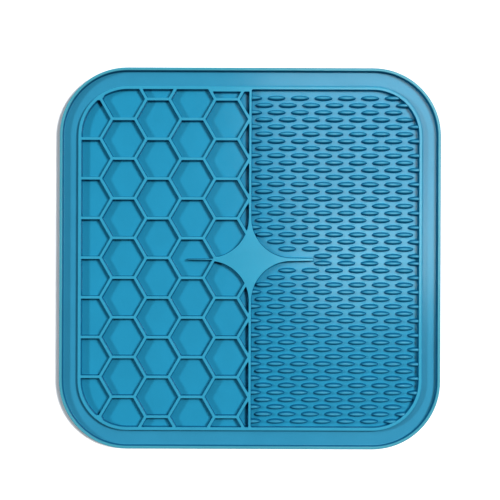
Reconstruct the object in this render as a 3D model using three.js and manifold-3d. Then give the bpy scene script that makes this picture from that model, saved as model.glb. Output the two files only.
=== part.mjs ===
// Square pet lick mat, moulded in one piece from silicone rubber.
// Sizes are in millimetres. +X runs to the right of the mat, +Y up the mat and +Z up from the table.
// The origin is on the flat underside, at the centre of the square.

import * as THREE from 'three';
import { ConvexGeometry } from 'three/addons/geometries/ConvexGeometry.js';
import { mergeVertices } from 'three/addons/utils/BufferGeometryUtils.js';
import Module from 'manifold-3d';

const wasm = await Module();
wasm.setup();

// Rim, from the outside in
const MAT_SIDE = 200;
const CORNER_RADIUS = 35.6;
const LIP_WIDTH = 1.5;
const MOAT_WIDTH = 8.1;
const INNER_RIDGE_WIDTH = 1.7;

// Heights above the table
const FLOOR_HEIGHT = 1.5;
const MOAT_HEIGHT = 2.3;
const RIDGE_HEIGHT = 4.7;
const LIP_HEIGHT = 5.4;

// How far a wall leans back for each millimetre of its height, so that the mat leaves its mould
const WALL_LEAN = 0.11;

// Upright divider, and the star on it
const DIVIDER_WIDTH = 1.3;
const STAR_Y = -0.6;
const STAR_ARC_RADIUS = 21;
const STAR_ARM_WIDTH = 1.6;
// Each side arm starts where the star's arcs have turned through arcTurn degrees.
const RIGHT_ARM = { reach: 33.5, arcTurn: 90, rootWidth: 1.6, tipWidth: 1.2 };
const LEFT_ARM = { reach: 32.4, arcTurn: 82, rootWidth: 0.9, tipWidth: 0.6 };
const ARM_ROOT_RUN = 1;

// Honeycomb on the left half. The pitch is measured across the flats, from ridge middle to ridge middle.
const CELL_PITCH = 20.85;
const CELL_RIDGE_WIDTH = 1.5;
const CELL_COLUMN_PITCH = CELL_PITCH * Math.cos(Math.PI / 6);
const CELL_MIDDLE = { x: -30.5, y: 0.1 };
const CELL_COLUMNS = { first: -3, last: 2 };
const CELL_ROWS = 5;
const SMALLEST_CELL_VOLUME = 8;

// Rice-grain bumps on the right half, in rows that mirror about the star
const GRAIN_LENGTH = 9.6;
const GRAIN_WIDTH = 2.8;
const GRAIN_HEIGHT = 2.7;
const GRAIN_CREST = { length: 6.2, width: 1, endDrop: 0.35 };
const GRAIN_TAPER = 1.1;
const GRAIN_ROOT = 0.4;
const GRAIN_PITCH = 12.34;
const GRAIN_ROW_PITCH = 3.78;
const GRAIN_ROWS = 23;
const EVEN_ROW = { firstX: 1.4, count: 8 };
const ODD_ROW = { firstX: 7.3, count: 7 };
// The star leaves no room for the first bumps of the rows next to it.
const LEFT_OUT_BY_ROW = [3, 1, 1];
// At the field's corners a bump is made where its middle is at most this far outside the field.
const GRAIN_MARGIN = 1;

// Smoothness of the arcs, and how far a cut runs past the face that it opens
const CORNER_STEPS = 12;
const STAR_ARC_STEPS = 10;
const ARM_TIP_STEPS = 4;
const CUT_PAST = 1;

const ORIGIN = new THREE.Vector2(0, 0);

function arc(x, y, radius, fromDegrees, toDegrees, steps) {
  const points = [];
  for (let i = 0; i <= steps; i += 1) {
    const turn = THREE.MathUtils.degToRad(fromDegrees + ((toDegrees - fromDegrees) * i) / steps);
    points.push(new THREE.Vector2(x + radius * Math.cos(turn), y + radius * Math.sin(turn)));
  }
  return points;
}

// A rounded square that lies a given distance inside the mat's edge, counterclockwise
function roundedSquare(inside) {
  const centre = MAT_SIDE / 2 - CORNER_RADIUS;
  const radius = CORNER_RADIUS - inside;
  return [
    ...arc(centre, -centre, radius, -90, 0, CORNER_STEPS),
    ...arc(centre, centre, radius, 0, 90, CORNER_STEPS),
    ...arc(-centre, centre, radius, 90, 180, CORNER_STEPS),
    ...arc(-centre, -centre, radius, 180, 270, CORNER_STEPS),
  ];
}

// The right half's field inside the inner ridge, less the divider and the star, counterclockwise.
// The outline shrinks by the inset.
function fieldOutline(arm, inset) {
  const border = LIP_WIDTH + MOAT_WIDTH + INNER_RIDGE_WIDTH + inset;
  const edge = MAT_SIDE / 2 - border;
  const corner = MAT_SIDE / 2 - CORNER_RADIUS;
  const cornerRadius = CORNER_RADIUS - border;
  const start = DIVIDER_WIDTH / 2 + inset;
  const arcX = DIVIDER_WIDTH / 2 + STAR_ARC_RADIUS;
  const arcY = STAR_ARM_WIDTH / 2 + STAR_ARC_RADIUS;
  const arcRadius = STAR_ARC_RADIUS - inset;
  const upperArc = arc(arcX, STAR_Y + arcY, arcRadius, 180, 180 + arm.arcTurn, STAR_ARC_STEPS);
  const lowerArc = arc(arcX, STAR_Y - arcY, arcRadius, 180 - arm.arcTurn, 180, STAR_ARC_STEPS);
  const rootX = upperArc.at(-1).x + ARM_ROOT_RUN;
  const rootHalf = arm.rootWidth / 2 + inset;
  const tipX = arm.reach - arm.tipWidth / 2;
  const tipRadius = arm.tipWidth / 2 + inset;
  return [
    new THREE.Vector2(start, -edge),
    ...arc(corner, -corner, cornerRadius, -90, 0, CORNER_STEPS),
    ...arc(corner, corner, cornerRadius, 0, 90, CORNER_STEPS),
    new THREE.Vector2(start, edge),
    ...upperArc,
    new THREE.Vector2(rootX, STAR_Y + rootHalf),
    ...arc(tipX, STAR_Y, tipRadius, 90, -90, ARM_TIP_STEPS),
    new THREE.Vector2(rootX, STAR_Y - rootHalf),
    ...lowerArc,
  ];
}

function mirrored(outline) {
  return outline.map((point) => new THREE.Vector2(-point.x, point.y)).reverse();
}

// A closed solid between two outlines with the same number of points
function loft(lower, lowerZ, upper, upperZ) {
  const count = lower.length;
  const positions = [];
  lower.forEach((point) => positions.push(point.x, point.y, lowerZ));
  upper.forEach((point) => positions.push(point.x, point.y, upperZ));
  const faces = [];
  THREE.ShapeUtils.triangulateShape(lower, []).forEach(([a, b, c]) => {
    faces.push(c, b, a);
    faces.push(a + count, b + count, c + count);
  });
  for (let i = 0; i < count; i += 1) {
    const next = (i + 1) % count;
    faces.push(i, next, next + count);
    faces.push(i, next + count, i + count);
  }
  const geometry = new THREE.BufferGeometry();
  geometry.setAttribute('position', new THREE.Float32BufferAttribute(positions, 3));
  geometry.setIndex(faces);
  return geometry;
}

function solidOf(geometry) {
  const bare = geometry.clone();
  bare.deleteAttribute('normal');
  bare.deleteAttribute('uv');
  const merged = mergeVertices(bare);
  return new wasm.Manifold(
    new wasm.Mesh({
      numProp: 3,
      vertProperties: new Float32Array(merged.attributes.position.array),
      triVerts: new Uint32Array(merged.index.array),
    }),
  );
}

function geometryOf(solid) {
  const mesh = solid.getMesh();
  const geometry = new THREE.BufferGeometry();
  geometry.setAttribute('position', new THREE.BufferAttribute(mesh.vertProperties, 3));
  geometry.setIndex(new THREE.BufferAttribute(mesh.triVerts, 1));
  geometry.computeVertexNormals();
  return geometry;
}

function joined(solids) {
  return solids.reduce((all, solid) => all.add(solid));
}

// A hollow whose outline is given by its inset at ridge height, with walls that lean back
function hollow(outlineAt, bottom, top) {
  const past = top + CUT_PAST;
  return solidOf(
    loft(outlineAt((top - bottom) * WALL_LEAN), bottom, outlineAt(-CUT_PAST * WALL_LEAN), past),
  );
}

// The rim: base sheet, lip, moat and the raised block that the inner ridge and the fields are cut in
function makeRim() {
  const block = solidOf(loft(roundedSquare(0), 0, roundedSquare(0), LIP_HEIGHT));
  const insideLip = hollow((inset) => roundedSquare(LIP_WIDTH + inset), MOAT_HEIGHT, LIP_HEIGHT);
  const step = RIDGE_HEIGHT - FLOOR_HEIGHT;
  const ridgeEdge = LIP_WIDTH + MOAT_WIDTH;
  const foot = roundedSquare(ridgeEdge - step * WALL_LEAN);
  const plateau = solidOf(loft(foot, FLOOR_HEIGHT, roundedSquare(ridgeEdge), RIDGE_HEIGHT));
  return block.subtract(insideLip).add(plateau);
}

// One honeycomb cell, a hexagonal hollow with flats towards +Y and -Y
function hexagon(x, y, inset) {
  const acrossFlats = CELL_PITCH - CELL_RIDGE_WIDTH - 2 * inset;
  const radius = acrossFlats / 2 / Math.cos(Math.PI / 6);
  return arc(x, y, radius, 0, 300, 5);
}

function makeCells() {
  const cells = [];
  const half = hollow((inset) => mirrored(fieldOutline(LEFT_ARM, inset)), FLOOR_HEIGHT, RIDGE_HEIGHT);
  for (let column = CELL_COLUMNS.first; column <= CELL_COLUMNS.last; column += 1) {
    const x = CELL_MIDDLE.x + column * CELL_COLUMN_PITCH;
    const shift = column % 2 === 0 ? 0 : CELL_PITCH / 2;
    for (let row = -CELL_ROWS; row <= CELL_ROWS; row += 1) {
      const y = CELL_MIDDLE.y + shift + row * CELL_PITCH;
      const whole = hollow((inset) => hexagon(x, y, inset), FLOOR_HEIGHT, RIDGE_HEIGHT);
      const cell = whole.intersect(half);
      if (cell.volume() > SMALLEST_CELL_VOLUME) {
        cells.push(cell);
      }
    }
  }
  return joined(cells);
}

// One rice-grain bump: a pointed oval that rises to a narrow crest
function grain(x, y) {
  const points = [];
  for (let i = 0; i < 8; i += 1) {
    const turn = (i * Math.PI) / 4;
    const across = Math.sign(Math.sin(turn)) * Math.abs(Math.sin(turn)) ** GRAIN_TAPER;
    const px = x + (GRAIN_LENGTH / 2) * Math.cos(turn);
    const py = y + (GRAIN_WIDTH / 2) * across;
    points.push(new THREE.Vector3(px, py, FLOOR_HEIGHT - GRAIN_ROOT));
    points.push(new THREE.Vector3(px, py, FLOOR_HEIGHT));
  }
  const crest = FLOOR_HEIGHT + GRAIN_HEIGHT;
  for (const side of [-1, 1]) {
    const endX = x + (side * GRAIN_CREST.length) / 2;
    points.push(new THREE.Vector3(endX, y, crest - GRAIN_CREST.endDrop));
    points.push(new THREE.Vector3(x, y + (side * GRAIN_CREST.width) / 2, crest));
  }
  return solidOf(new ConvexGeometry(points));
}

function nearField(point) {
  const centre = MAT_SIDE / 2 - CORNER_RADIUS;
  const border = LIP_WIDTH + MOAT_WIDTH + INNER_RIDGE_WIDTH;
  const beyond = new THREE.Vector2(point.x - centre, Math.abs(point.y) - centre);
  beyond.max(ORIGIN);
  return beyond.length() < CORNER_RADIUS - border + GRAIN_MARGIN;
}

function makeGrains() {
  const grains = [];
  for (let row = 0; row < GRAIN_ROWS; row += 1) {
    const kind = row % 2 === 0 ? EVEN_ROW : ODD_ROW;
    for (let i = LEFT_OUT_BY_ROW[row] ?? 0; i < kind.count; i += 1) {
      const x = kind.firstX + i * GRAIN_PITCH;
      for (const side of [-1, 1]) {
        const y = STAR_Y + side * (row + 0.5) * GRAIN_ROW_PITCH;
        if (nearField(new THREE.Vector2(x, y))) {
          grains.push(grain(x, y));
        }
      }
    }
  }
  return joined(grains);
}

function makeMat() {
  const grainField = hollow((inset) => fieldOutline(RIGHT_ARM, inset), FLOOR_HEIGHT, RIDGE_HEIGHT);
  const solid = makeRim()
    .subtract(makeCells())
    .subtract(grainField.subtract(makeGrains()));
  const silicone = new THREE.MeshStandardMaterial({ color: 0x3aa0c6, roughness: 0.5, metalness: 0 });
  const mat = new THREE.Mesh(geometryOf(solid), silicone);
  mat.name = 'mat';
  return mat;
}

const lickMat = new THREE.Group();
lickMat.add(makeMat());

export default lickMat;
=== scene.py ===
"""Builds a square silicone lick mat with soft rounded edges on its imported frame, and a studio round it."""

import math

import bpy
from bpy.props import FloatProperty, FloatVectorProperty, IntProperty, PointerProperty
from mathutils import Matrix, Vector


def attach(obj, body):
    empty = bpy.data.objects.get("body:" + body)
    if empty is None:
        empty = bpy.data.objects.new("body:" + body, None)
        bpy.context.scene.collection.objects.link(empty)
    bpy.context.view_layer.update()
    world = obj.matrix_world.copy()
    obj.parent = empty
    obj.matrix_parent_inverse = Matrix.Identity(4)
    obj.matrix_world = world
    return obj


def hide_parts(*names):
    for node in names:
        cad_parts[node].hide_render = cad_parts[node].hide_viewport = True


bl_info = {
    "name": "Silicone lick mat",
    "version": (1, 0, 0),
    "blender": (4, 5, 0),
    "location": "3D View > Sidebar > Lick mat",
    "description": "Makes a square silicone lick mat and the studio it lies in",
    "category": "Add Mesh",
}

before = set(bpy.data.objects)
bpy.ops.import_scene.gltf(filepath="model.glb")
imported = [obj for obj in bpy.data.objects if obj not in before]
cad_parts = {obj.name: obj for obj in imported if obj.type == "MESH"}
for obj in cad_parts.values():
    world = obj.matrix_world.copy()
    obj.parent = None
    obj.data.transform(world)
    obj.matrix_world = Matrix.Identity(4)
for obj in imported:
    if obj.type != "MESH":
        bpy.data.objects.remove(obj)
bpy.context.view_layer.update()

MAT_NAME = "silicone_mat"
MM = 0.001

# How far a wall leans back for each unit of its height, so that the mat leaves its mould
WALL_LEAN = 0.11

# Side arms of the star: how far they reach, how far the star's arcs turn before them, and their widths
RIGHT_ARM = {"reach": 33.5 * MM, "arc_turn": 90, "root": 1.6 * MM, "tip": 1.2 * MM}
LEFT_ARM = {"reach": 32.7 * MM, "arc_turn": 82, "root": 0.8 * MM, "tip": 0.55 * MM}
# Run from the end of the star's arcs to where the right arm is as wide as its root
ARM_ROOT_RUN = 1 * MM

# The honeycomb is counted from the cell round the star's left arm: its middle, and the columns and rows
CELL_MIDDLE = (-30.5 * MM, 0.1 * MM)
CELL_COLUMNS = range(-3, 3)
CELL_ROWS = range(-5, 6)
# Half the angle of a hexagon's side, seen from its middle
HEXAGON_HALF_ANGLE = math.radians(30)
# A cell that is cut down to less than this area stays solid, and corners closer than this are one corner
SMALLEST_CELL_AREA = 2.5 * MM * MM
SHORTEST_CELL_SIDE = 0.02 * MM
# Corners that turn by less stay plain. A sharper one moves out at most so many times as far as its sides.
ROUNDED_TURN = math.radians(12)
LONGEST_CORNER = 4.2

# Bump rows mirror about the star: first middle and number of bumps in the even and the odd rows
GRAIN_ROWS = 23
EVEN_ROW = (1.4 * MM, 8)
ODD_ROW = (7.3 * MM, 7)
# Bumps that the star takes from the rows next to it, and how far outside the field a middle may lie
LEFT_OUT_BY_ROW = [3, 1, 1]
GRAIN_MARGIN = 1 * MM
# Levels of one bump from its foot to its crest, as shares of its height, its width and its length
GRAIN_LEVELS = [
    (0, 1, 1),
    (0.35, 0.87, 0.93),
    (0.65, 0.73, 0.85),
    (0.85, 0.57, 0.76),
    (0.96, 0.38, 0.64),
    (1, 0.15, 0.42),
]
GRAIN_POINTS = 24

# Smoothness of the arcs seen from above, and of the rounded edges
CORNER_STEPS = 22
STAR_ARC_STEPS = 18
ARM_TIP_STEPS = 6
PLAN_CORNER_STEPS = 3
ROUND_STEPS = 4
SMOOTH_ANGLE = math.radians(38)

# How far a cutter runs past the face that it opens, and the slope at which it leaves that face
CUT_PAST = 1 * MM
CUT_SLOPE = 0.1

# Straight runs beside the rounded edges, as multiples of each edge's radius
UNDERSIDE_RUN = 3
RIDGE_RUN = 2
CUT_RUN = 1.4
FOOT_RUN = 1.2

# The left arm's rounded edge: its radius and the run beside it, as shares of the arm's width at its tip
ARM_EDGE_RADIUS = 0.6
ARM_EDGE_RUN = 0.4

# Between these two values lies most of a noise texture
NOISE_LOW = 0.3
NOISE_HIGH = 0.7

# Pigment clouds in the silicone, three to 50 mm, and how much they lighten or darken it
CLOUD_SIZE = 50 * MM / 3
CLOUD_CONTRAST = 0.03
# Blasted grain of the skin: its size and depth, how strongly it shows, and how it changes the roughness
GRIT_SIZE = 0.5 * MM
GRIT_DEPTH = 0.05 * MM
GRIT_STRENGTH = 0.12
GRIT_ROUGHNESS = (-0.03, 0.04)
# Upward share of a face's direction at which the painted wall shade starts, and at which it is full
WALL_SHADE_FROM = 0.85
WALL_SHADE_WHOLE = 0.2
# How far a point looks for walls, how open it must be to start to shine and to shine fully, and that shine
OPEN_REACH = 1.8 * MM
OPEN_FROM = 0.45
OPEN_WHOLE = 0.8
FULL_GLOSS = 0.5

# How many metres the paper floor reaches and the backdrop rises, and how far under the mat both start
PAPER_REACH = 6
PAPER_SINK = 0.02 * MM
# Clumps of fibres in the paper, and the relief that they give it
CLUMP_SIZE = 2.5 * MM
CLUMP_DEPTH = 0.05 * MM

# Lamps of the mat: size in metres, azimuth and elevation in degrees, distance in metres
LAMPS = {
    "key_light": ((0.75, 0.75), 25, 57, 3),
    "side_light": ((0.7, 0.35), 172, 35, 3),
    "back_light": ((1.1, 1.1), 90, 50, 2.4),
}
# Sheen panels above the mat: size, lower left corner and height in metres, all turned alike
SHEEN_PANELS = {
    "sheen_panel": ((0.3, 0.26), (0.056, -0.056), 0.65),
    "dim_sheen_panel": ((0.2, 0.2), (0.093, -0.251), 0.65),
    "blue_sheen_panel": ((0.12, 0.12), (0.08, -0.08), 0.64),
}
SHEEN_TURN = math.radians(12.5)
# Lights of the floor: azimuth, elevation and how wide each looks, in degrees
FLOOR_LIGHTS = {"floor_key": (12, 60, 14), "floor_fill": (0, 90, 100)}

# Where the mat's middle lies in the picture, in pixels, and how far the picture is turned
MIDDLE_IN_PICTURE = (249.5, 257.9)
CAMERA_ROLL = math.radians(0.2)
# The height at which the view's width is measured, and how far the camera sees, in metres
OUTLINE_HEIGHT = 5 * MM
FARTHEST_SEEN = 20


def linear_of(hex_colour):
    """Turns an sRGB hex colour into linear values."""
    parts = [int(hex_colour[i : i + 2], 16) / 255 for i in (1, 3, 5)]
    return tuple(p / 12.92 if p <= 0.04045 else ((p + 0.055) / 1.055) ** 2.4 for p in parts)


def length_property(name, description, millimetres):
    return FloatProperty(
        name=name, description=description, default=millimetres * MM, min=0, precision=5, unit="LENGTH"
    )


def colour_property(name, description, hex_colour):
    return FloatVectorProperty(
        name=name, description=description, default=linear_of(hex_colour), subtype="COLOR"
    )


def power_property(name, description, watts):
    return FloatProperty(name=name, description=description, default=watts, min=0, unit="POWER")


def share_property(name, description, share):
    return FloatProperty(name=name, description=description, default=share, min=0, max=1, subtype="FACTOR")


class LICKMAT_PG_rim(bpy.types.PropertyGroup):
    """Rim, heights and rounded edges of the mat"""

    side: length_property("Side", "Length of each side of the mat", 200)
    corner_radius: length_property("Corner radius", "Radius of the mat's corners", 35.6)
    lip_width: length_property("Lip width", "Width of the lip's top", 1.5)
    moat_width: length_property("Moat width", "Width of the channel inside the lip", 8.1)
    ridge_width: length_property("Inner ridge width", "Width of the ridge round both fields", 1.7)
    floor_height: length_property("Floor height", "Thickness of the sheet under the fields", 1.5)
    moat_height: length_property("Moat height", "Height of the channel's floor", 2.3)
    ridge_height: length_property("Ridge height", "Height of the ridges and the star", 4.7)
    lip_height: length_property("Lip height", "Height of the lip", 5.4)
    lip_round: length_property("Lip rounding", "Radius of the lip's edges", 0.42)
    edge_round: length_property("Ridge rounding", "Radius of the ridges' edges", 0.38)
    foot_round: length_property("Foot rounding", "Radius at the foot of the walls", 0.05)
    moat_round: length_property("Moat rounding", "Radius at the foot of the lip, inside", 0.3)
    plan_round: length_property("Cell corner radius", "Radius of a cell's corners, from above", 0.2)


class LICKMAT_PG_fields(bpy.types.PropertyGroup):
    """Divider, star, honeycomb and bumps"""

    divider_width: length_property("Divider width", "Width of the upright divider", 1.3)
    star_drop: length_property("Star drop", "How far the star lies below the mat's middle", 0.6)
    star_arc_radius: length_property("Star arc radius", "Radius of the star's hollow sides", 21)
    star_arm_width: length_property("Star arm width", "Width between the star's arcs at the arms", 1.6)
    cell_pitch: length_property("Cell pitch", "Distance between cells, across their flats", 20.85)
    cell_ridge_width: length_property("Cell ridge width", "Width of a honeycomb ridge", 1.5)
    grain_length: length_property("Bump length", "Length of a bump", 9.6)
    grain_width: length_property("Bump width", "Width of a bump", 2.8)
    grain_height: length_property("Bump height", "Height of a bump above the floor", 2.7)
    grain_pitch: length_property("Bump pitch", "Distance between bumps in a row", 12.34)
    grain_row_pitch: length_property("Row pitch", "Distance between rows of bumps", 3.78)


class LICKMAT_PG_silicone(bpy.types.PropertyGroup):
    """Colours and finish of the silicone, with painted sheen, highlight and shade"""

    body: colour_property("Body colour", "Colour of the pigmented silicone", "#2986A6")
    # Painted sheen: the channel's floor and all that stands higher are greyed, as a sheen would grey them.
    channel_sheen: colour_property("Film colour", "Greyer colour of the channel inside the lip", "#3585A3")
    # Painted highlight: the tops of the ridges and the star are painted paler, where the light catches them.
    pale: colour_property("Pale colour", "Colour of the ridges' rubbed tops", "#3991AE")
    # Painted sheen: the lip's top is painted greyer and paler, as light on the highest face.
    lip_sheen: colour_property("Bloom colour", "Greyer colour of the lip, which is handled most", "#4B93A2")
    # Painted shade: steep walls are painted a deep colour, as shade would darken them.
    wall_shade: colour_property("Deep colour", "Colour of steep walls", "#005F88")
    channel_sheen_share: share_property("Filmed", "How much of the film shows in the channel", 1)
    highlit: share_property("Rubbed", "How much of the pale colour shows on the ridges", 1)
    lip_sheen_share: share_property("Dulled", "How much of the bloom shows on the lip", 0.8)
    wall_shade_share: share_property("Wall depth", "How much of the deep colour shows on walls", 0.8)
    roughness: share_property("Roughness", "Roughness of the moulded surface", 0.16)


class LICKMAT_PG_studio(bpy.types.PropertyGroup):
    """Floor, lights and camera"""

    floor: colour_property("Floor colour", "Colour of the plain floor", "#F7F7F7")
    key_light: power_property("Key light", "Power of the main light, at the right", 86)
    side_light: power_property("Side light", "Power of the low light at the left", 47)
    back_light: power_property("Back light", "Power of the soft light beyond the mat", 7.5)
    sheen_panel: power_property("Sheen panel", "Power of the panel mirrored in the mat's right half", 1)
    dim_sheen_panel: power_property("Dim sheen panel", "Power of the panel below it", 0.04)
    blue_sheen_panel: power_property("Blue sheen panel", "Power of the one mirrored beside the star", 0.16)
    blue_sheen: colour_property("Blue sheen colour", "Colour of the blue panel's light", "#CCFFFF")
    sky: FloatProperty(name="Sky", description="Strength of the light from all round", default=0.03, min=0)
    floor_key: FloatProperty(
        name="Floor key", description="Strength of the light that casts the mat's shadow", default=3.2, min=0
    )
    floor_fill: FloatProperty(
        name="Floor fill", description="Strength of the light inside the mat's shadow", default=1.3, min=0
    )
    camera_height: length_property("Camera height", "Height of the camera above the floor", 650)
    view_width: length_property("View width", "Width that the camera sees just below the lip's top", 262.3)
    pixels_across: IntProperty(
        name="Pixels across", description="Width of the picture in pixels", default=500, subtype="PIXEL"
    )


# Outlines seen from above, as lists of points


def arc(x, y, radius, start, end, steps):
    """Points of an arc round x, y. Its start and end are in degrees."""
    turns = [math.radians(start + (end - start) * i / steps) for i in range(steps + 1)]
    return [Vector((x + radius * math.cos(t), y + radius * math.sin(t))) for t in turns]


def rounded_square(rim, inside):
    """A rounded square a distance inside the mat's edge, counterclockwise."""
    centre = rim.side / 2 - rim.corner_radius
    radius = rim.corner_radius - inside
    return [
        *arc(centre, -centre, radius, -90, 0, CORNER_STEPS),
        *arc(centre, centre, radius, 0, 90, CORNER_STEPS),
        *arc(-centre, centre, radius, 90, 180, CORNER_STEPS),
        *arc(-centre, -centre, radius, 180, 270, CORNER_STEPS),
    ]


def hexagon(x, y, across_flats):
    """A hexagon with corners to its left and right, counterclockwise."""
    return arc(x, y, across_flats / 2 / math.cos(HEXAGON_HALF_ANGLE), 0, 300, 5)


def field_border(rim):
    """How far both fields lie inside the mat's edge."""
    return rim.lip_width + rim.moat_width + rim.ridge_width


def field_bounds(rim, inset):
    """How far a field reaches from the mat's middle, and the middle and radius of its corners."""
    border = field_border(rim) + inset
    return rim.side / 2 - border, rim.side / 2 - rim.corner_radius, rim.corner_radius - border


def star_arcs(fields, turn, inset):
    """The star's two hollow sides to the right of the divider, upper then lower, drawn downwards."""
    x = fields.divider_width / 2 + fields.star_arc_radius
    y = fields.star_arm_width / 2 + fields.star_arc_radius
    radius = fields.star_arc_radius - inset
    upper = arc(x, -fields.star_drop + y, radius, 180, 180 + turn, STAR_ARC_STEPS)
    lower = arc(x, -fields.star_drop - y, radius, 180 - turn, 180, STAR_ARC_STEPS)
    return upper, lower


def bump_field(rim, fields, inset):
    """The right half's floor inside the inner ridge, round the star and its arm, counterclockwise."""
    edge, corner, radius = field_bounds(rim, inset)
    start = fields.divider_width / 2 + inset
    small = rim.plan_round + rim.foot_round + rim.edge_round - inset
    upper, lower = star_arcs(fields, RIGHT_ARM["arc_turn"], inset)
    root_x = upper[-1].x + ARM_ROOT_RUN
    root_half = RIGHT_ARM["root"] / 2 + inset
    tip_x = RIGHT_ARM["reach"] - RIGHT_ARM["tip"] / 2
    star_y = -fields.star_drop
    return [
        *arc(start + small, -edge + small, small, 180, 270, PLAN_CORNER_STEPS),
        *arc(corner, -corner, radius, -90, 0, CORNER_STEPS),
        *arc(corner, corner, radius, 0, 90, CORNER_STEPS),
        *arc(start + small, edge - small, small, 90, 180, PLAN_CORNER_STEPS),
        *upper,
        Vector((root_x, star_y + root_half)),
        *arc(tip_x, star_y, RIGHT_ARM["tip"] / 2 + inset, 90, -90, ARM_TIP_STEPS),
        Vector((root_x, star_y - root_half)),
        *lower,
    ]


def left_quarter(rim, fields, inset, upwards):
    """The left half's floor above or below the star's arm, a convex outline, counterclockwise."""
    edge, corner, radius = field_bounds(rim, inset)
    arm_y = fields.star_drop + LEFT_ARM["root"] / 2 + inset
    _, lower = star_arcs(fields, LEFT_ARM["arc_turn"], inset)
    star = [p for p in lower if p.y < -arm_y]
    right = [
        Vector((fields.divider_width / 2 + inset, -edge)),
        *arc(corner, -corner, radius, -90, 0, CORNER_STEPS),
        Vector((edge, -arm_y)),
        Vector((LEFT_ARM["reach"], -arm_y)),
        *star,
    ]
    outline = [Vector((-p.x, p.y)) for p in right][::-1]
    if upwards:
        outline = [Vector((p.x, -2 * fields.star_drop - p.y)) for p in outline][::-1]
        outline = [Vector((p.x, min(p.y, edge))) for p in outline]
    return outline


def left_half(rim, fields, inset):
    """The left half's floor as if there were no star, counterclockwise."""
    edge, corner, radius = field_bounds(rim, inset)
    start = fields.divider_width / 2 + inset
    return [
        Vector((-start, -edge)),
        Vector((-start, edge)),
        *arc(-corner, corner, radius, 90, 180, CORNER_STEPS),
        *arc(-corner, -corner, radius, 180, 270, CORNER_STEPS),
    ]


def clipped(outline, window):
    """The part of a convex outline inside a convex window, both counterclockwise."""
    for a, b in zip(window, window[1:] + window[:1]):
        along = b - a
        kept = []
        sides = [along.x * (p.y - a.y) - along.y * (p.x - a.x) for p in outline]
        for i, point in enumerate(outline):
            j = (i + 1) % len(outline)
            if sides[i] >= 0:
                kept.append(point)
            if sides[i] * sides[j] < 0:
                kept.append(point.lerp(outline[j], sides[i] / (sides[i] - sides[j])))
        outline = kept
        if len(outline) < 3:
            return []
    return outline


def area_of(outline):
    """Area of a counterclockwise outline."""
    return sum(a.x * b.y - a.y * b.x for a, b in zip(outline, outline[1:] + outline[:1])) / 2


def without_doubles(outline, least):
    """Leaves out points that lie closer than least to the one before."""
    kept = []
    for point in outline:
        if not kept or (point - kept[-1]).length > least:
            kept.append(point)
    while len(kept) > 1 and (kept[0] - kept[-1]).length <= least:
        kept.pop()
    return kept


def grown(core, distance, radius):
    """A convex outline moved outwards, with its sharp corners rounded to a radius."""
    grown_points = []
    for i, point in enumerate(core):
        before = (point - core[i - 1]).normalized()
        after = (core[(i + 1) % len(core)] - point).normalized()
        out_before = Vector((before.y, -before.x))
        out_after = Vector((after.y, -after.x))
        turn = before.angle(after)
        middle = (out_before + out_after).normalized()
        reach = min(1 / math.cos(turn / 2), LONGEST_CORNER)
        if turn < ROUNDED_TURN:
            grown_points.append(point + middle * distance * reach)
        else:
            centre = point + middle * (distance - radius) * reach
            for step in range(PLAN_CORNER_STEPS + 1):
                out = out_before.lerp(out_after, step / PLAN_CORNER_STEPS).normalized()
                grown_points.append(centre + out * radius)
    return grown_points


# Solids between outlines


def rounded_path(corners):
    """Points along a path of (along, height, radius) corners, with an arc of that radius at each."""
    points = [Vector(corners[0][:2])]
    for before, corner, after in zip(corners, corners[1:], corners[2:]):
        at = Vector(corner[:2])
        radius = corner[2]
        back = (Vector(before[:2]) - at).normalized()
        ahead = (Vector(after[:2]) - at).normalized()
        half = back.angle(ahead) / 2
        middle = at + (back + ahead).normalized() * radius / math.sin(half)
        start = at + back * radius / math.tan(half) - middle
        end = at + ahead * radius / math.tan(half) - middle
        whole = start.angle_signed(end)
        for step in range(ROUND_STEPS + 1):
            turn = -whole * step / ROUND_STEPS
            cos, sin = math.cos(turn), math.sin(turn)
            points.append(
                middle + Vector((start.x * cos - start.y * sin, start.x * sin + start.y * cos))
            )
    points.append(Vector(corners[-1][:2]))
    return points


class Shells:
    """Closed shells that are collected into one mesh."""

    def __init__(self):
        self.points = []
        self.faces = []

    def add(self, rings):
        """Adds a shell through rings of the same number of points, from the lowest up, with flat ends."""
        first = len(self.points)
        count = len(rings[0])
        for ring in rings:
            self.points.extend(ring)
        for level in range(len(rings) - 1):
            low = first + level * count
            for i in range(count):
                j = (i + 1) % count
                self.faces.append((low + i, low + j, low + count + j, low + count + i))
        last = first + (len(rings) - 1) * count
        self.faces.append(tuple(range(first + count - 1, first - 1, -1)))
        self.faces.append(tuple(range(last, last + count)))

    def as_object(self, name):
        """Adds an object that holds all the shells."""
        mesh = bpy.data.meshes.new(name)
        mesh.from_pydata(self.points, [], self.faces)
        made = bpy.data.objects.new(name, mesh)
        bpy.context.scene.collection.objects.link(made)
        return made


def lofted(path, outline_at):
    """Rings of an outline that follows a path of (inset, height)."""
    return [[(p.x, p.y, height) for p in outline_at(inset)] for inset, height in path]


def hollow_path(rim):
    """How the wall of a field or cell runs from its floor to past the ridges' tops."""
    foot = (rim.ridge_height - rim.floor_height) * WALL_LEAN
    past = CUT_RUN * rim.edge_round
    out = rim.ridge_height + past * CUT_SLOPE
    corners = [
        (foot + FOOT_RUN * rim.foot_round, rim.floor_height),
        (foot, rim.floor_height, rim.foot_round),
        (0, rim.ridge_height, rim.edge_round),
        (-past, out),
    ]
    path = rounded_path(corners)
    path.append(Vector((-past, out + CUT_PAST)))
    return path


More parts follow.
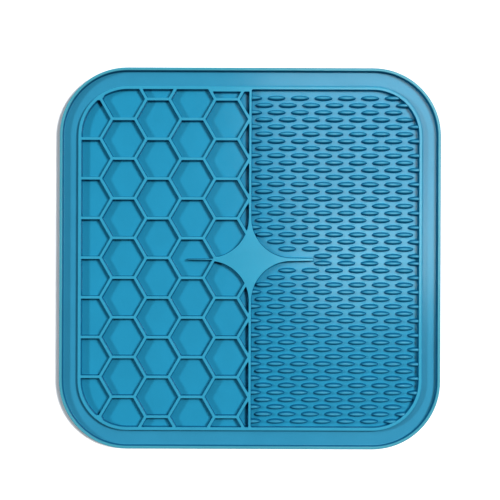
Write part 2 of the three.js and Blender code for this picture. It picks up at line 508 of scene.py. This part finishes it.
def rim_shell(rim):
    """The whole mat with its lip and moat, and the raised block inside."""
    moat_foot = rim.lip_width + (rim.lip_height - rim.moat_height) * WALL_LEAN
    step_top = rim.lip_width + rim.moat_width
    step_foot = step_top - (rim.ridge_height - rim.moat_height) * WALL_LEAN
    corners = [
        (UNDERSIDE_RUN * rim.lip_round, 0),
        (0, 0, rim.lip_round),
        (0, rim.lip_height, rim.lip_round),
        (rim.lip_width, rim.lip_height, rim.lip_round),
        (moat_foot, rim.moat_height, rim.moat_round),
        (step_foot, rim.moat_height, rim.foot_round),
        (step_top, rim.ridge_height, rim.edge_round),
        (step_top + RIDGE_RUN * rim.edge_round, rim.ridge_height),
    ]
    return lofted(rounded_path(corners), lambda inside: rounded_square(rim, inside))


def cell_rings(rim, fields):
    """Rings of every honeycomb cell, each clipped to its part of the left half."""
    path = hollow_path(rim)
    deepest = max(p.x for p in path) + rim.plan_round
    half = left_half(rim, fields, deepest)
    quarters = [left_quarter(rim, fields, deepest, upwards) for upwards in (False, True)]
    flats = fields.cell_pitch - fields.cell_ridge_width - 2 * deepest
    column_pitch = fields.cell_pitch * math.cos(HEXAGON_HALF_ANGLE)
    cells = []
    for column in CELL_COLUMNS:
        x = CELL_MIDDLE[0] + column * column_pitch
        shift = 0 if column % 2 == 0 else fields.cell_pitch / 2
        for row in CELL_ROWS:
            y = CELL_MIDDLE[1] + shift + row * fields.cell_pitch
            near_star = x > -LEFT_ARM["reach"] + column_pitch / 2
            window = quarters[y > -fields.star_drop] if near_star else half
            core = without_doubles(clipped(hexagon(x, y, flats), window), SHORTEST_CELL_SIDE)
            if len(core) < 3 or area_of(grown(core, deepest, rim.plan_round)) <= SMALLEST_CELL_AREA:
                continue
            cells.append(lofted(path, lambda inset: grown(core, deepest - inset, rim.plan_round)))
    return cells


def arm_rings(rim, fields):
    """Rings of the star's thin left arm, which stands in the middle cell."""
    tall = rim.ridge_height - rim.floor_height
    sink = rim.floor_height / 2
    corners = [
        ((tall + sink) * WALL_LEAN, rim.floor_height - sink),
        (0, rim.ridge_height, ARM_EDGE_RADIUS * LEFT_ARM["tip"]),
        (-ARM_EDGE_RUN * LEFT_ARM["tip"], rim.ridge_height),
    ]
    root_x = -star_arcs(fields, LEFT_ARM["arc_turn"], 0)[0][-1].x
    tip_x = -LEFT_ARM["reach"] + LEFT_ARM["tip"] / 2
    star_y = -fields.star_drop

    def outline_at(grow):
        root = LEFT_ARM["root"] / 2 + grow
        tip = LEFT_ARM["tip"] / 2 + grow
        return [
            Vector((root_x, star_y + root)),
            *arc(tip_x, star_y, tip, 90, 270, ARM_TIP_STEPS),
            Vector((root_x, star_y - root)),
        ]

    return lofted(rounded_path(corners), outline_at)


def grain_rings(rim, fields, x, y):
    """Rings of one rice-grain bump: an oval mound with steep sides and a narrow crest."""
    rings = []
    # The foot comes twice: its first ring lies inside the sheet.
    for tall, wide, long in [GRAIN_LEVELS[0], *GRAIN_LEVELS]:
        height = rim.floor_height + fields.grain_height * tall if rings else rim.floor_height / 2
        ring = []
        for i in range(GRAIN_POINTS):
            turn = 2 * math.pi * i / GRAIN_POINTS
            px = x + fields.grain_length / 2 * long * math.cos(turn)
            py = y + fields.grain_width / 2 * wide * math.sin(turn)
            ring.append((px, py, height))
        rings.append(ring)
    return rings


def grain_places(rim, fields):
    """Middles of all the bumps that lie in the right half's field."""
    centre = rim.side / 2 - rim.corner_radius
    reach = rim.corner_radius - field_border(rim) + GRAIN_MARGIN
    places = []
    for row in range(GRAIN_ROWS):
        first_x, count = EVEN_ROW if row % 2 == 0 else ODD_ROW
        left_out = LEFT_OUT_BY_ROW[row] if row < len(LEFT_OUT_BY_ROW) else 0
        for i in range(left_out, count):
            x = first_x + i * fields.grain_pitch
            for side in (-1, 1):
                y = -fields.star_drop + side * (row + 0.5) * fields.grain_row_pitch
                beyond = Vector((max(x - centre, 0), max(abs(y) - centre, 0)))
                if beyond.length < reach:
                    places.append((x, y))
    return places


def combine(target, other, operation):
    """Joins or cuts target with other, keeps the result in target and deletes other."""
    modifier = target.modifiers.new(operation.title(), "BOOLEAN")
    modifier.object = other
    modifier.operation = operation
    modifier.solver = "MANIFOLD"
    evaluated = target.evaluated_get(bpy.context.evaluated_depsgraph_get())
    result = bpy.data.meshes.new_from_object(evaluated)
    old = target.data
    target.modifiers.clear()
    target.data = result
    bpy.data.meshes.remove(old)
    spent = other.data
    bpy.data.objects.remove(other)
    bpy.data.meshes.remove(spent)
    if not result.polygons:
        raise RuntimeError(f"{target.name}: nothing is left after {operation.lower()}")


def shade_soft(made):
    """Shades rounded edges smoothly, keeps sharp creases and lets the flat faces stay flat."""
    made.data.shade_smooth()
    made.data.set_sharp_from_angle(angle=SMOOTH_ANGLE)
    modifier = made.modifiers.new("Flat faces lead", "WEIGHTED_NORMAL")
    modifier.mode = "FACE_AREA"
    modifier.keep_sharp = True


# Materials


def add_node(tree, kind, settings=None, values=None, links=None):
    """Adds one node. settings are its own options, values and links go to its inputs by name or number."""
    node = tree.nodes.new(kind)
    for name, value in (settings or {}).items():
        setattr(node, name, value)
    for name, value in (values or {}).items():
        node.inputs[name].default_value = value
    for name, socket in (links or {}).items():
        tree.links.new(socket, node.inputs[name])
    return node


def new_material(name):
    """An empty node material, and its node tree."""
    material = bpy.data.materials.new(name)
    material.use_nodes = True
    material.node_tree.nodes.clear()
    return material, material.node_tree


def moulded_silicone(rim, look):
    """Silicone rubber, compression moulded in a fine-blasted steel mould."""
    # The blasted mould leaves a satin skin: broad soft highlights and no sharp mirror image. The rubber is
    # pigmented all through; the deep colour of its steep walls is painted shade.
    material, tree = new_material("moulded_silicone_rubber")
    coordinates = add_node(tree, "ShaderNodeTexCoord").outputs
    where = coordinates["Object"]
    # Real pigment clouds are 10 to 30 mm across and barely show.
    clouds = add_node(
        tree, "ShaderNodeTexNoise", values={"Scale": 1 / CLOUD_SIZE, "Detail": 3}, links={"Vector": where}
    ).outputs["Fac"]
    # The blasted grain is about 0.1 mm; it is drawn 0.5 mm coarse so that it shows.
    grit = add_node(
        tree, "ShaderNodeTexNoise", values={"Scale": 1 / GRIT_SIZE, "Detail": 2}, links={"Vector": where}
    ).outputs["Fac"]
    # Painted light, by height and slope: the channel is greyed as painted sheen, the ridges' and the star's
    # tops are paler as painted highlight, the lip greyer as painted sheen, and steep walls deep as painted
    # shade.
    height = add_node(tree, "ShaderNodeSeparateXYZ", links={0: where}).outputs["Z"]
    upright = add_node(tree, "ShaderNodeSeparateXYZ", links={0: coordinates["Normal"]}).outputs["Z"]
    # For each painted tint (sheen, highlight, sheen, shade): what it follows, where it starts, where it is
    # full, how much shows then, and its colour
    tints = (
        (height, rim.floor_height, rim.moat_height, look.channel_sheen_share, look.channel_sheen),
        (height, rim.ridge_height - 2 * rim.edge_round, rim.ridge_height, look.highlit, look.pale),
        (height, rim.ridge_height, rim.lip_height - rim.lip_round, look.lip_sheen_share, look.lip_sheen),
        (upright, WALL_SHADE_FROM, WALL_SHADE_WHOLE, look.wall_shade_share, look.wall_shade),
    )
    colour = None
    for value, start, end, most, tint in tints:
        share = add_node(
            tree,
            "ShaderNodeMapRange",
            {"interpolation_type": "SMOOTHSTEP"},
            {"From Min": start, "From Max": end, "To Max": most},
            {"Value": value},
        ).outputs["Result"]
        # The mix takes its share from input 0 and its two colours from 6 and 7, and gives output 2.
        values = {6: (*look.body, 1), 7: (*tint, 1)}
        links = {0: share, 6: colour} if colour else {0: share}
        colour = add_node(tree, "ShaderNodeMix", {"data_type": "RGBA"}, values, links).outputs[2]
    noise = {"From Min": NOISE_LOW, "From Max": NOISE_HIGH}
    brightness = add_node(
        tree,
        "ShaderNodeMapRange",
        values={**noise, "To Min": 1 - CLOUD_CONTRAST, "To Max": 1 + CLOUD_CONTRAST},
        links={"Value": clouds},
    ).outputs["Result"]
    clouded = add_node(
        tree, "ShaderNodeHueSaturation", links={"Color": colour, "Value": brightness}
    ).outputs["Color"]
    smoothest, roughest = (look.roughness + change for change in GRIT_ROUGHNESS)
    rough = add_node(
        tree,
        "ShaderNodeMapRange",
        values={**noise, "To Min": smoothest, "To Max": roughest},
        links={"Value": grit},
    ).outputs["Result"]
    skin = add_node(
        tree,
        "ShaderNodeBump",
        values={"Strength": GRIT_STRENGTH, "Distance": GRIT_DEPTH},
        links={"Height": grit},
    ).outputs["Normal"]
    # Painted shade: close to walls and between bumps an occlusion mask turns the sheen down to nothing, as
    # the walls' shade would.
    openness = add_node(
        tree, "ShaderNodeAmbientOcclusion", {"samples": 8, "only_local": True}, {"Distance": OPEN_REACH}
    ).outputs["AO"]
    gloss = add_node(
        tree,
        "ShaderNodeMapRange",
        values={"From Min": OPEN_FROM, "From Max": OPEN_WHOLE, "To Max": FULL_GLOSS},
        links={"Value": openness},
    ).outputs["Result"]
    shader = add_node(
        tree,
        "ShaderNodeBsdfPrincipled",
        values={"IOR": 1.41, "Metallic": 0},
        links={"Base Color": clouded, "Roughness": rough, "Specular IOR Level": gloss, "Normal": skin},
    )
    add_node(tree, "ShaderNodeOutputMaterial", links={"Surface": shader.outputs[0]})
    return material


def lit_paper():
    """White background paper with a lamp behind it."""
    # The light comes through evenly, so it is one flat white.
    material, tree = new_material("lit_white_paper")
    shader = add_node(tree, "ShaderNodeEmission", values={"Color": (1, 1, 1, 1)})
    add_node(tree, "ShaderNodeOutputMaterial", links={"Surface": shader.outputs[0]})
    return material


def matt_paper(look):
    """White background paper, coated matt."""
    # Paper has no shine so far off. Its fibres lie in clumps 2 to 3 mm across, so it is faintly uneven.
    material, tree = new_material("matt_white_paper")
    where = add_node(tree, "ShaderNodeTexCoord").outputs["Object"]
    clumps = add_node(
        tree, "ShaderNodeTexNoise", values={"Scale": 1 / CLUMP_SIZE, "Detail": 2}, links={"Vector": where}
    ).outputs["Fac"]
    relief = add_node(
        tree,
        "ShaderNodeBump",
        values={"Strength": 0.05, "Distance": CLUMP_DEPTH},
        links={"Height": clumps},
    ).outputs["Normal"]
    shader = add_node(
        tree,
        "ShaderNodeBsdfPrincipled",
        values={"Base Color": (*look.floor, 1), "Roughness": 0.95, "IOR": 1.45},
        links={"Normal": relief},
    )
    add_node(tree, "ShaderNodeOutputMaterial", links={"Surface": shader.outputs[0]})
    return material


# The mat


class LICKMAT_OT_make_mat(bpy.types.Operator):
    """Make the lick mat with its honeycomb, its bumps and its star"""

    bl_idname = "lickmat.make_mat"
    bl_label = "Make lick mat"

    def execute(self, context):
        scene = context.scene
        rim, fields = scene.lickmat_rim, scene.lickmat_fields
        mat = Shells()
        mat.add(rim_shell(rim))
        cells = Shells()
        for rings in cell_rings(rim, fields):
            cells.add(rings)
        arm = Shells()
        arm.add(arm_rings(rim, fields))
        field = Shells()
        field.add(lofted(hollow_path(rim), lambda inset: bump_field(rim, fields, inset)))
        grains = Shells()
        for x, y in grain_places(rim, fields):
            grains.add(grain_rings(rim, fields, x, y))

        made = mat.as_object(MAT_NAME)
        combine(made, cells.as_object("cell_cutter"), "DIFFERENCE")
        combine(made, arm.as_object("star_arm"), "UNION")
        cutter = field.as_object("field_cutter")
        combine(cutter, grains.as_object("bumps"), "DIFFERENCE")
        combine(made, cutter, "DIFFERENCE")
        shade_soft(made)
        made.data.materials.clear()
        made.data.materials.append(moulded_silicone(rim, scene.lickmat_silicone))
        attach(made, "root")
        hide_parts("mat")
        return {"FINISHED"}


# The studio


def towards(azimuth, elevation):
    """The direction of a light. Azimuth 0 is to the right, 90 is up the mat."""
    turn, rise = math.radians(azimuth), math.radians(elevation)
    return Vector((math.cos(turn) * math.cos(rise), math.sin(turn) * math.cos(rise), math.sin(rise)))


def add_light(name, power, size, azimuth, elevation, distance):
    """Adds a soft light that faces the mat."""
    light = bpy.data.lights.new(name, "AREA")
    light.shape = "RECTANGLE"
    light.size, light.size_y = size
    light.energy = power
    lamp = bpy.data.objects.new(name, light)
    to_lamp = towards(azimuth, elevation)
    lamp.location = to_lamp * distance
    lamp.rotation_euler = to_lamp.to_track_quat("Z", "Y").to_euler()
    lamp.visible_camera = False
    bpy.context.scene.collection.objects.link(lamp)
    return lamp


def add_sheen_panel(name, power, size, corner, height):
    """Adds a level panel above the mat that is seen only as a reflection on it."""
    panel = add_light(name, power, size, 0, 90, height)
    panel.rotation_euler = (0, 0, SHEEN_TURN)
    middle = Vector((*size, 0)) / 2
    middle.rotate(panel.rotation_euler)
    panel.location = Vector((*corner, height)) + middle
    panel.visible_diffuse = False
    return panel


def add_floor_light(name, strength, azimuth, elevation, spread):
    """Adds an even, distant light that looks so many degrees wide, for the floor."""
    light = bpy.data.lights.new(name, "SUN")
    light.energy = strength
    light.angle = math.radians(spread)
    lamp = bpy.data.objects.new(name, light)
    lamp.rotation_euler = towards(azimuth, elevation).to_track_quat("Z", "Y").to_euler()
    bpy.context.scene.collection.objects.link(lamp)
    return lamp


def shine_only_on(receiver, lamps):
    """Lets the lamps light one object and nothing else."""
    group = bpy.data.collections.new(f"lights_of_{receiver.name}")
    group.objects.link(receiver)
    for lamp in lamps:
        lamp.light_linking.receiver_collection = group


def add_lights(look, mat, floor):
    """Adds the lamps and sheen panels of the mat, and the lights of the floor."""
    lamps = [add_light(name, getattr(look, name), *place) for name, place in LAMPS.items()]
    panels = [add_sheen_panel(name, getattr(look, name), *place) for name, place in SHEEN_PANELS.items()]
    bpy.data.lights["blue_sheen_panel"].color = look.blue_sheen
    floor_lights = [
        add_floor_light(name, getattr(look, name), *place) for name, place in FLOOR_LIGHTS.items()
    ]
    # The blasted skin is too dull to mirror the far lamps; only the near panels leave a sheen on it.
    for lamp in lamps:
        lamp.visible_glossy = False
    # The floor has lights of its own, so that it stays white round the mat whatever the mat's lamps do.
    shine_only_on(mat, lamps + panels)
    shine_only_on(floor, floor_lights)


def add_paper(name, corners, faces, material):
    """Adds a sheet of the studio's paper."""
    mesh = bpy.data.meshes.new(name)
    mesh.from_pydata(corners, [], faces)
    mesh.materials.append(material)
    paper = bpy.data.objects.new(name, mesh)
    bpy.context.scene.collection.objects.link(paper)
    return paper


def add_papers(look):
    """Adds the floor, and a lit backdrop round it for low views. Gives the floor back."""
    corners = [(x * PAPER_REACH, y * PAPER_REACH) for x, y in ((-1, -1), (1, -1), (1, 1), (-1, 1))]
    feet = [(*corner, -PAPER_SINK) for corner in corners]
    tops = [(*corner, PAPER_REACH) for corner in corners]
    floor = add_paper("floor", feet, [(0, 1, 2, 3)], matt_paper(look))
    walls = [(0, 1, 5, 4), (1, 2, 6, 5), (2, 3, 7, 6), (3, 0, 4, 7)]
    backdrop = add_paper("backdrop", feet + tops, walls, lit_paper())
    # The backdrop is there for the camera alone and lights nothing.
    for ray in ("diffuse", "glossy", "shadow", "transmission", "volume_scatter"):
        setattr(backdrop, f"visible_{ray}", False)
    return floor


def add_sky(scene, look):
    """Adds faint white light from all round."""
    world = bpy.data.worlds.new("studio")
    world.use_nodes = True
    sky = world.node_tree.nodes["Background"]
    sky.inputs["Color"].default_value = (1, 1, 1, 1)
    sky.inputs["Strength"].default_value = look.sky
    scene.world = world


def add_camera(scene, look):
    """Adds a camera straight above, shifted so that the mat lies where it does in the picture."""
    lens = bpy.data.cameras.new("camera")
    camera = bpy.data.objects.new("camera", lens)
    lens.lens = lens.sensor_width * (look.camera_height - OUTLINE_HEIGHT) / look.view_width
    picture_middle = (look.pixels_across - 1) / 2
    lens.shift_x = (picture_middle - MIDDLE_IN_PICTURE[0]) / look.pixels_across
    lens.shift_y = (MIDDLE_IN_PICTURE[1] - picture_middle) / look.pixels_across
    lens.clip_end = FARTHEST_SEEN
    camera.location = (0, 0, look.camera_height)
    camera.rotation_euler.z = CAMERA_ROLL
    scene.collection.objects.link(camera)
    scene.camera = camera


class LICKMAT_OT_make_studio(bpy.types.Operator):
    """Make the pale floor, the soft lights and the camera above the mat"""

    bl_idname = "lickmat.make_studio"
    bl_label = "Make studio"

    def execute(self, context):
        scene = context.scene
        look = scene.lickmat_studio
        floor = add_papers(look)
        add_lights(look, bpy.data.objects[MAT_NAME], floor)
        add_sky(scene, look)
        add_camera(scene, look)
        scene.view_settings.view_transform = "Standard"
        scene.view_settings.look = "Medium High Contrast"
        return {"FINISHED"}


# The sidebar


class LICKMAT_PT_sidebar(bpy.types.Panel):
    """Lists what this add-on makes"""

    bl_idname = "LICKMAT_PT_sidebar"
    bl_label = "Lick mat"
    bl_space_type = "VIEW_3D"
    bl_region_type = "UI"
    bl_category = "Lick mat"

    def draw(self, context):
        for name in GROUPS:
            box = self.layout.box()
            group = getattr(context.scene, name)
            for prop in group.__annotations__:
                box.prop(group, prop)
        self.layout.operator(LICKMAT_OT_make_mat.bl_idname)
        self.layout.operator(LICKMAT_OT_make_studio.bl_idname)


GROUPS = {
    "lickmat_rim": LICKMAT_PG_rim,
    "lickmat_fields": LICKMAT_PG_fields,
    "lickmat_silicone": LICKMAT_PG_silicone,
    "lickmat_studio": LICKMAT_PG_studio,
}
CLASSES = [*GROUPS.values(), LICKMAT_OT_make_mat, LICKMAT_OT_make_studio, LICKMAT_PT_sidebar]


def register():
    for cls in CLASSES:
        bpy.utils.register_class(cls)
    for name, group in GROUPS.items():
        setattr(bpy.types.Scene, name, PointerProperty(type=group))


def unregister():
    for name in GROUPS:
        delattr(bpy.types.Scene, name)
    for cls in reversed(CLASSES):
        bpy.utils.unregister_class(cls)


def main():
    register()
    bpy.ops.lickmat.make_mat()
    bpy.ops.lickmat.make_studio()


if __name__ == "__main__":
    main()
